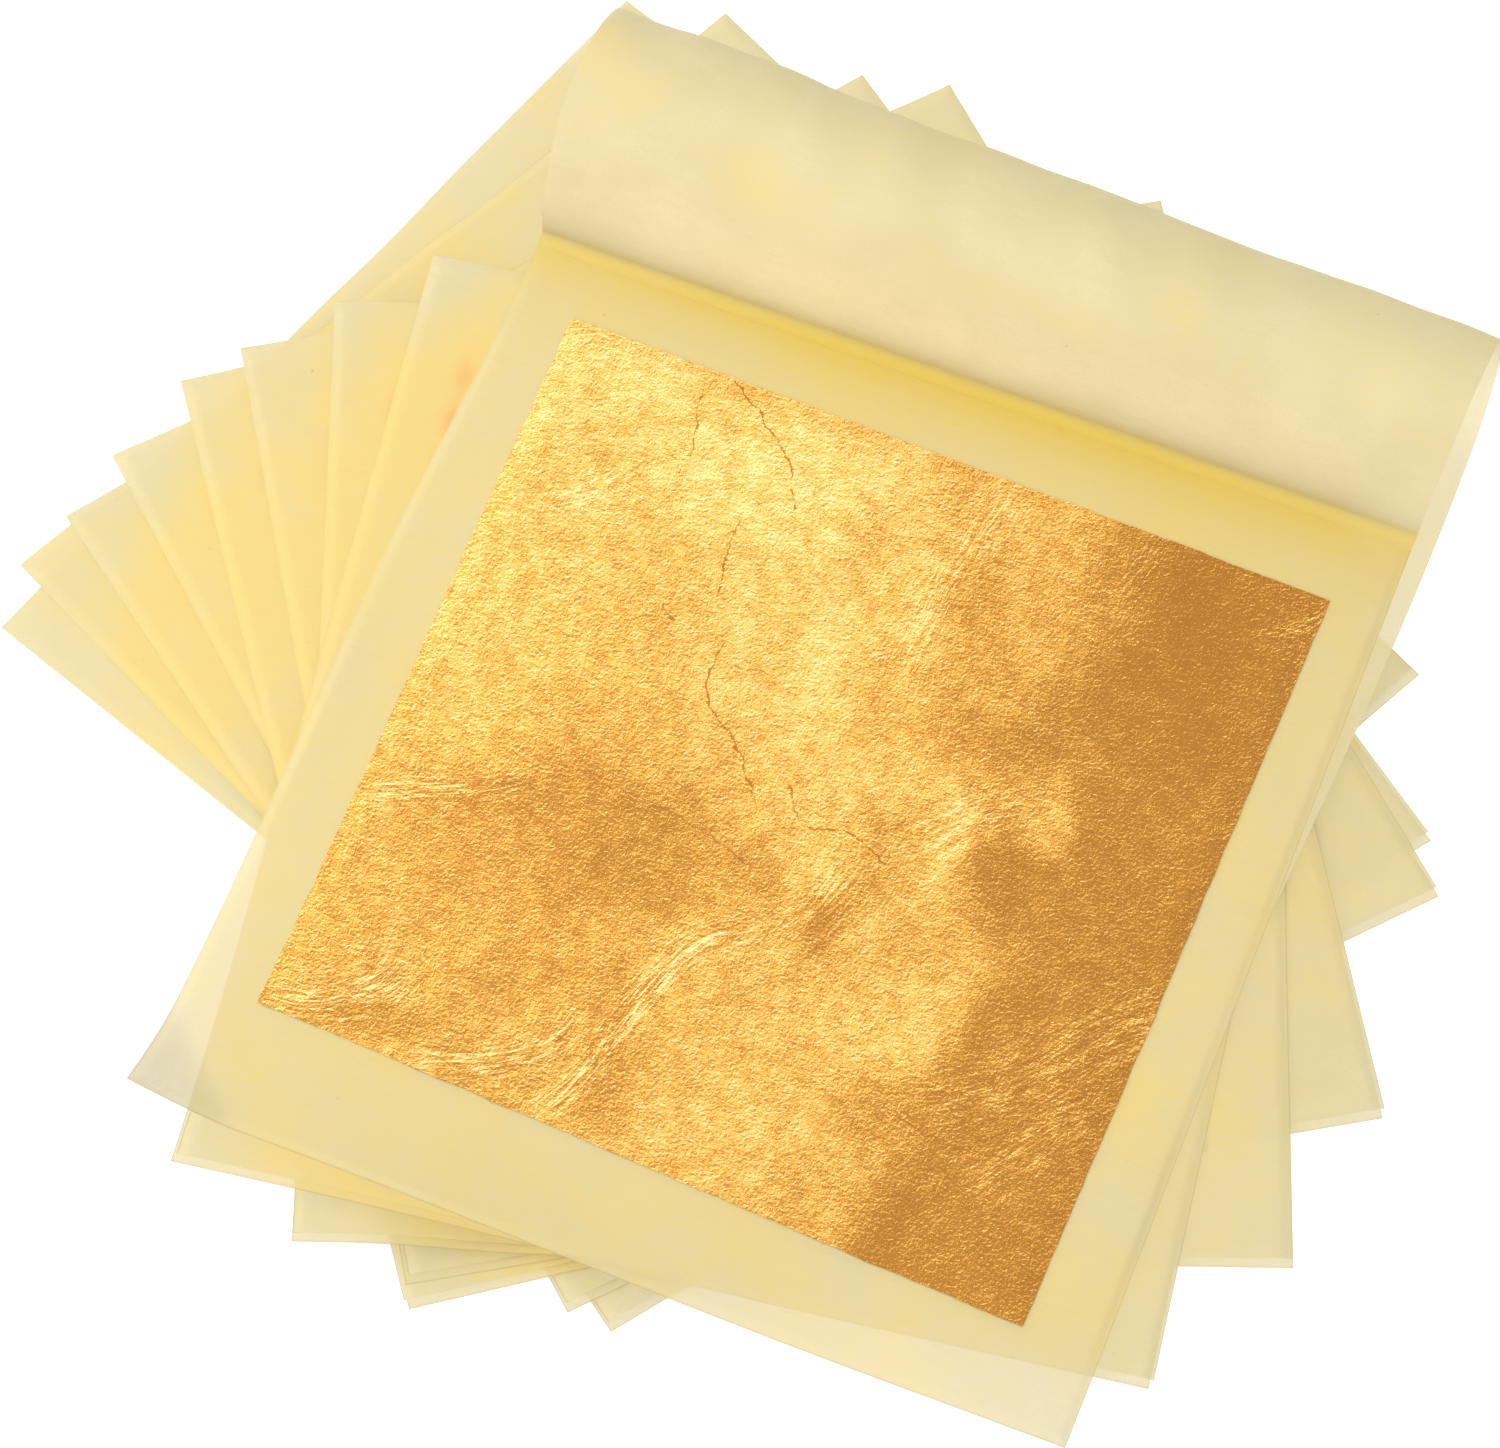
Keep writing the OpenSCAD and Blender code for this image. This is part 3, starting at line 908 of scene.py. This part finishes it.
def make_hidden_leaf(i):
    """The leaf inside a closed folder, square, a hair above its under page."""
    low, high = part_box(f"leaf_{i}")
    side = np.linspace(-LEAF_W / 2, LEAF_W / 2, HIDDEN_ROWS)
    u, v = np.meshgrid(side, side, indexing="ij")
    x = LEAF_SHIFT[0] + u * cos(LEAF_TURN) - v * sin(LEAF_TURN)
    y = LEAF_SHIFT[1] + u * sin(LEAF_TURN) + v * cos(LEAF_TURN)
    folder = middle_of(f"folder_{i}")
    height = (low.z + high.z) / 2 / MM - folder[2]
    middle = in_fan(i, x, y, np.full_like(x, height), folder)
    on_sheet = np.stack([u + LEAF_W / 2 + SHEETS_APART * i, v + LEAF_W / 2], axis=-1)
    marks = leaf_marks(u + LEAF_W / 2, LEAF_W / 2 - v, CLOUDS_APART * i)
    leaf = make_sheet(f"leaf_{i}_gold", gold, middle, LEAF_T, on_sheet, marks)
    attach(leaf, f"folder_{i}")
    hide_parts(f"leaf_{i}")
    return leaf


hidden_leaves = [make_hidden_leaf(i) for i in range(FOLDERS, 1, -1)]
print(len(hidden_leaves), "leaves inside the folders")

# %% [markdown]
# The open page is the flat under half of the top sheet. Near the crease its left edge is
# drawn in a little, because the rolled cover pulls on it. Its last few millimetres carry
# painted bounce light: a deeper yellow, where light bouncing between the page and the roll
# would fall.

# %% Open page
FOLD_R, RISE_ANGLE = 1.2, 97.0
FOLD_HALF = FOLD_R * radians(RISE_ANGLE) / 2
CREASE_Y = PAGE_L / 2 - FOLD_HALF
# How far the left border is drawn in at the crease, and how far to the right that reaches
DRAWN_IN, DRAWN_REACH = 1.3, 25
# Gap at the crease, so that the page turns up without cutting into the cover
CREASE_GAP = 0.05
# How far the painted bounce light reaches from the crease, in millimetres
PAINTED_BOUNCE_REACH = 4.8
OPEN_COLUMNS, OPEN_ROWS = 131, 137


def drawn_in(x, y):
    """How far the left border is pulled to the right, growing from mid page to the crease."""
    left = 1 - smooth(x, -PAGE_W / 2, -PAGE_W / 2 + DRAWN_REACH)
    return DRAWN_IN * smooth(y, 10, 44) * left


def page_height(x, y):
    """Relief of the open page in itself: faint waves that die out at the crease and borders."""
    fade = 1 - smooth(y, CREASE_Y - 12, CREASE_Y)
    waves = ripples(x, y, 30, 3) * 0.05 + ripples(x, y, 11, 4) * 0.015
    free = 1 - smooth(np.minimum(PAGE_W / 2 - np.abs(x), PAGE_L / 2 + y), 0, BORDER_REACH)
    return fade * (0.12 + waves) * (1 - free) - BORDER_DROOP * free


def painted_bounce_share(x):
    """Painted bounce light along the crease: strongest in the middle, a little weaker at both ends.
    """
    left, right = smooth(x, -PAGE_W / 2, -10), smooth(x, 15, PAGE_W / 2)
    return (0.75 + 0.25 * left) * (1 - 0.18 * right)


def make_open_page():
    """The under page of the top sheet, from its open edge to the crease."""
    across = spaced(-PAGE_W / 2, PAGE_W / 2, OPEN_COLUMNS)
    down = spaced(-PAGE_L / 2, CREASE_Y - CREASE_GAP, OPEN_ROWS)
    x, y = np.meshgrid(across, down, indexing="ij")
    bent_x = x + drawn_in(x, y)
    middle = in_fan(1, bent_x, y, page_height(x, y), (page_x, page_y, page_z))
    on_sheet = np.stack([x + PAGE_W / 2, y + PAGE_L / 2], axis=-1)
    # Painted bounce light on the page: a deeper yellow fading away from the crease
    reach = PAINTED_BOUNCE_REACH * (1.0 + 0.5 * smooth(x, -20, 47))
    marks = page_marks(1, x, y)
    marks["glow"] = np.exp(-np.clip(CREASE_Y - y, 0, None) / reach) * painted_bounce_share(x)
    marks["tint"] = 0 * x
    sheet = make_sheet("open_page_tissue", tissue, middle, TISSUE_T, on_sheet, marks)
    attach(sheet, "open_page")
    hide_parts("open_page")
    return sheet


open_page = make_open_page()
print("open page has", len(open_page.data.polygons), "faces")

# %% [markdown]
# The cover page is one strip of arcs, each tangent to the last: the opened fold, a rising
# front, a tighter crown, a round back, and a level tail under the page. The roll is
# smaller at its right end and leans that way, so each arc's radius shrinks along the
# crease while its angles stay. Every grid row is then the same recipe at another size.

# %% Rolled cover
RISE_R, CROWN_R, TAPER, LEAN = 16.0, 10.0, 0.13, 2.1
CROWN_START, CROWN_END = 40.0, 35.0
STACK_GAP = 0.05
TAIL_DROP = PAPER_T + STACK_GAP
COVER_L = PAGE_L - PAGE_STEP + FOLD_HALF
COVER_COLUMNS = 110
# Grid steps round the fold, the front, the crown, the back and along the tail
FOLD_STEPS, FRONT_STEPS, CROWN_STEPS, BACK_STEPS, TAIL_STEPS = 16, 30, 40, 60, 30


def arc(start, radius, first, last, count):
    """Points on an arc that turns from one heading to another, for a column of radii.

    From its start, the point is start + radius * (sin(first) - sin(a), cos(a) - cos(first))."""
    a = np.radians(np.linspace(first, last, count + 1)[1:])
    first = radians(first)
    run = start[:, :1] + radius[:, None] * (sin(first) - np.sin(a))
    rise = start[:, 1:] + radius[:, None] * (np.cos(a) - cos(first))
    return np.stack([run, rise], axis=-1)


def cover_profile(size):
    """Run and height of the cover from the crease, for a column of sizes along the crease."""
    origin = np.zeros((len(size), 2))
    fold = arc(origin, -FOLD_R + 0 * size, 0, RISE_ANGLE, FOLD_STEPS)
    front = arc(fold[:, -1], RISE_R * size, RISE_ANGLE, CROWN_START, FRONT_STEPS)
    crown = arc(front[:, -1], CROWN_R * size, CROWN_START, -CROWN_END, CROWN_STEPS)
    back_r = (crown[:, -1, 1] + TAIL_DROP) / (1 + cos(radians(CROWN_END)))
    back = arc(crown[:, -1], back_r, -CROWN_END, -180, BACK_STEPS)
    bent = np.concatenate([origin[:, None], fold, front, crown, back], axis=1)
    used = np.linalg.norm(np.diff(bent, axis=1), axis=-1).sum(axis=1)
    share = np.linspace(0, 1, TAIL_STEPS + 1)[1:]
    tail_run = back[:, -1, :1] - (COVER_L - used)[:, None] * share
    tail = np.stack([tail_run, np.broadcast_to(back[:, -1, 1:], tail_run.shape)], axis=-1)
    return np.concatenate([bent, tail], axis=1)


def make_cover():
    """The cover page of the top sheet, rolled back and tucked under the open page."""
    e = np.linspace(0, 1, COVER_COLUMNS)
    profile = cover_profile(1 - TAPER * e)
    steps = np.linalg.norm(np.diff(profile, axis=1), axis=-1)
    length = np.concatenate([np.zeros((len(e), 1)), np.cumsum(steps, axis=1)], axis=1)
    x = PAGE_W * (e[:, None] - 0.5) + LEAN * np.sin(pi * length / COVER_L)
    left = 1 - smooth(x, -PAGE_W / 2, -PAGE_W / 2 + DRAWN_REACH)
    x = x + DRAWN_IN * left * (1 - smooth(length, 0, 22))
    free = smooth(length, 6, 18) * (1 - smooth(length, 48, 58))
    billow = free * (0.22 * ripples(x, length, 26, 21) + 0.06 * ripples(x, length, 9, 22))
    heading = np.gradient(profile, axis=1)
    heading /= np.linalg.norm(heading, axis=-1, keepdims=True)
    run = profile[..., 0] - billow * heading[..., 1]
    rise = profile[..., 1] + billow * heading[..., 0]
    middle = np.stack([page_x + x, page_y + CREASE_Y + run, page_z + rise], axis=-1)
    on_sheet = np.stack([x + PAGE_W / 2, length + SHEETS_APART], axis=-1)
    # Painted light: the roll's low front and the part past its crown lie in shade and are painted
    # paler by a warmth below zero
    painted_light_low_front = smooth(length, 1, 3) * (1 - smooth(length, 6, 16))
    painted_light_over_crown = smooth(length, 33, 44) * (1 - smooth(length, 46, 52))
    warmth = 0.05 + 0.14 * ripples(x, length, 18, 23) - 0.8 * painted_light_low_front - 0.7 * painted_light_over_crown
    # Painted bounce light on the fold next to the crease
    marks = {"glow": np.exp(-(length / 2.8) ** 2) * painted_bounce_share(x), "warmth": warmth,
             "tint": 0 * x, "line": 0 * x, "line_from": 0 * x + FAR_OFF,
             "cover": 0 * x + face_cover(COVER_ROLL)}
    sheet = make_sheet("turned_cover_tissue", tissue, middle, TISSUE_T, on_sheet, marks)
    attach(sheet, "top_folder")
    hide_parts("turned_cover")
    return sheet


turned_cover = make_cover()
print("rolled cover has", len(turned_cover.data.polygons), "faces")

# %% [markdown]
# The leaf in view lies on the open page and follows it, a hair above it. Its corners are
# not quite square: the beaten edge is cut by hand, and the creased lower left corner is
# drawn in. It gets the finest grid, so that its broader crumples are real relief.

# %% Leaf in view
LEAF_ROWS = 190
# Corners from the middle of the page: lower left, lower right, upper left, upper right
LEAF_CORNERS = ((-39.8, -36.8), (39.2, -40.7), (-39.4, 43.1), (41.4, 41.2))
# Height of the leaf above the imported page's upper face, before waves and crumples
LEAF_LIFT = 0.03


def leaf_relief(x, y, strength, along, across):
    """Height of the leaf's crumples, never below zero: pillows, and ridges in the bundles."""
    pillows = 0.035 * (1.6 + ripples(x, y, 9, 31)) + 0.012 * (1.6 + ripples(x, y, 3.4, 32))
    ridges = strength * 0.05 * (1.6 + ripples(across, along * 0.12, 1.7, 33))
    return np.clip(pillows, 0, None) + np.clip(ridges, 0, None)


def make_top_leaf():
    """The square of leaf in view, bilinear between its four corners."""
    steps = np.linspace(0, 1, LEAF_ROWS)
    s, t = np.meshgrid(steps, steps, indexing="ij")
    lower_left, lower_right, upper_left, upper_right = np.array(LEAF_CORNERS)
    s3, t3 = s[..., None], t[..., None]
    flat = (lower_left * (1 - s3) + lower_right * s3) * (1 - t3)
    flat = flat + (upper_left * (1 - s3) + upper_right * s3) * t3
    x, y = flat[..., 0], flat[..., 1]
    ragged = 0.04 * ripples(x, y, 6, 34) + 0.02 * ripples(x, y, 2, 35)
    from_rim = np.minimum(np.minimum(s, 1 - s), np.minimum(t, 1 - t)) * LEAF_W
    rim = 1 - smooth(from_rim, 0, 2)
    x, y = x + ragged * rim, y + ragged * rim
    u, v = s * LEAF_W, (1 - t) * LEAF_W
    marks = leaf_marks(u, v)
    crumple = leaf_relief(u, v, marks["bundle"], marks["along"], marks["across"]) * (1 - rim)
    height = page_height(x, y) + PAPER_T / 2 + LEAF_LIFT + crumple
    middle = in_fan(1, x, y, height, (page_x, page_y, page_z))
    on_sheet = np.stack([u, v], axis=-1)
    leaf = make_sheet("top_leaf_gold", gold, middle, LEAF_T, on_sheet, marks)
    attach(leaf, "top_leaf")
    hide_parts("top_leaf")
    return leaf


top_leaf = make_top_leaf()
print("leaf in view has", len(top_leaf.data.polygons), "faces")
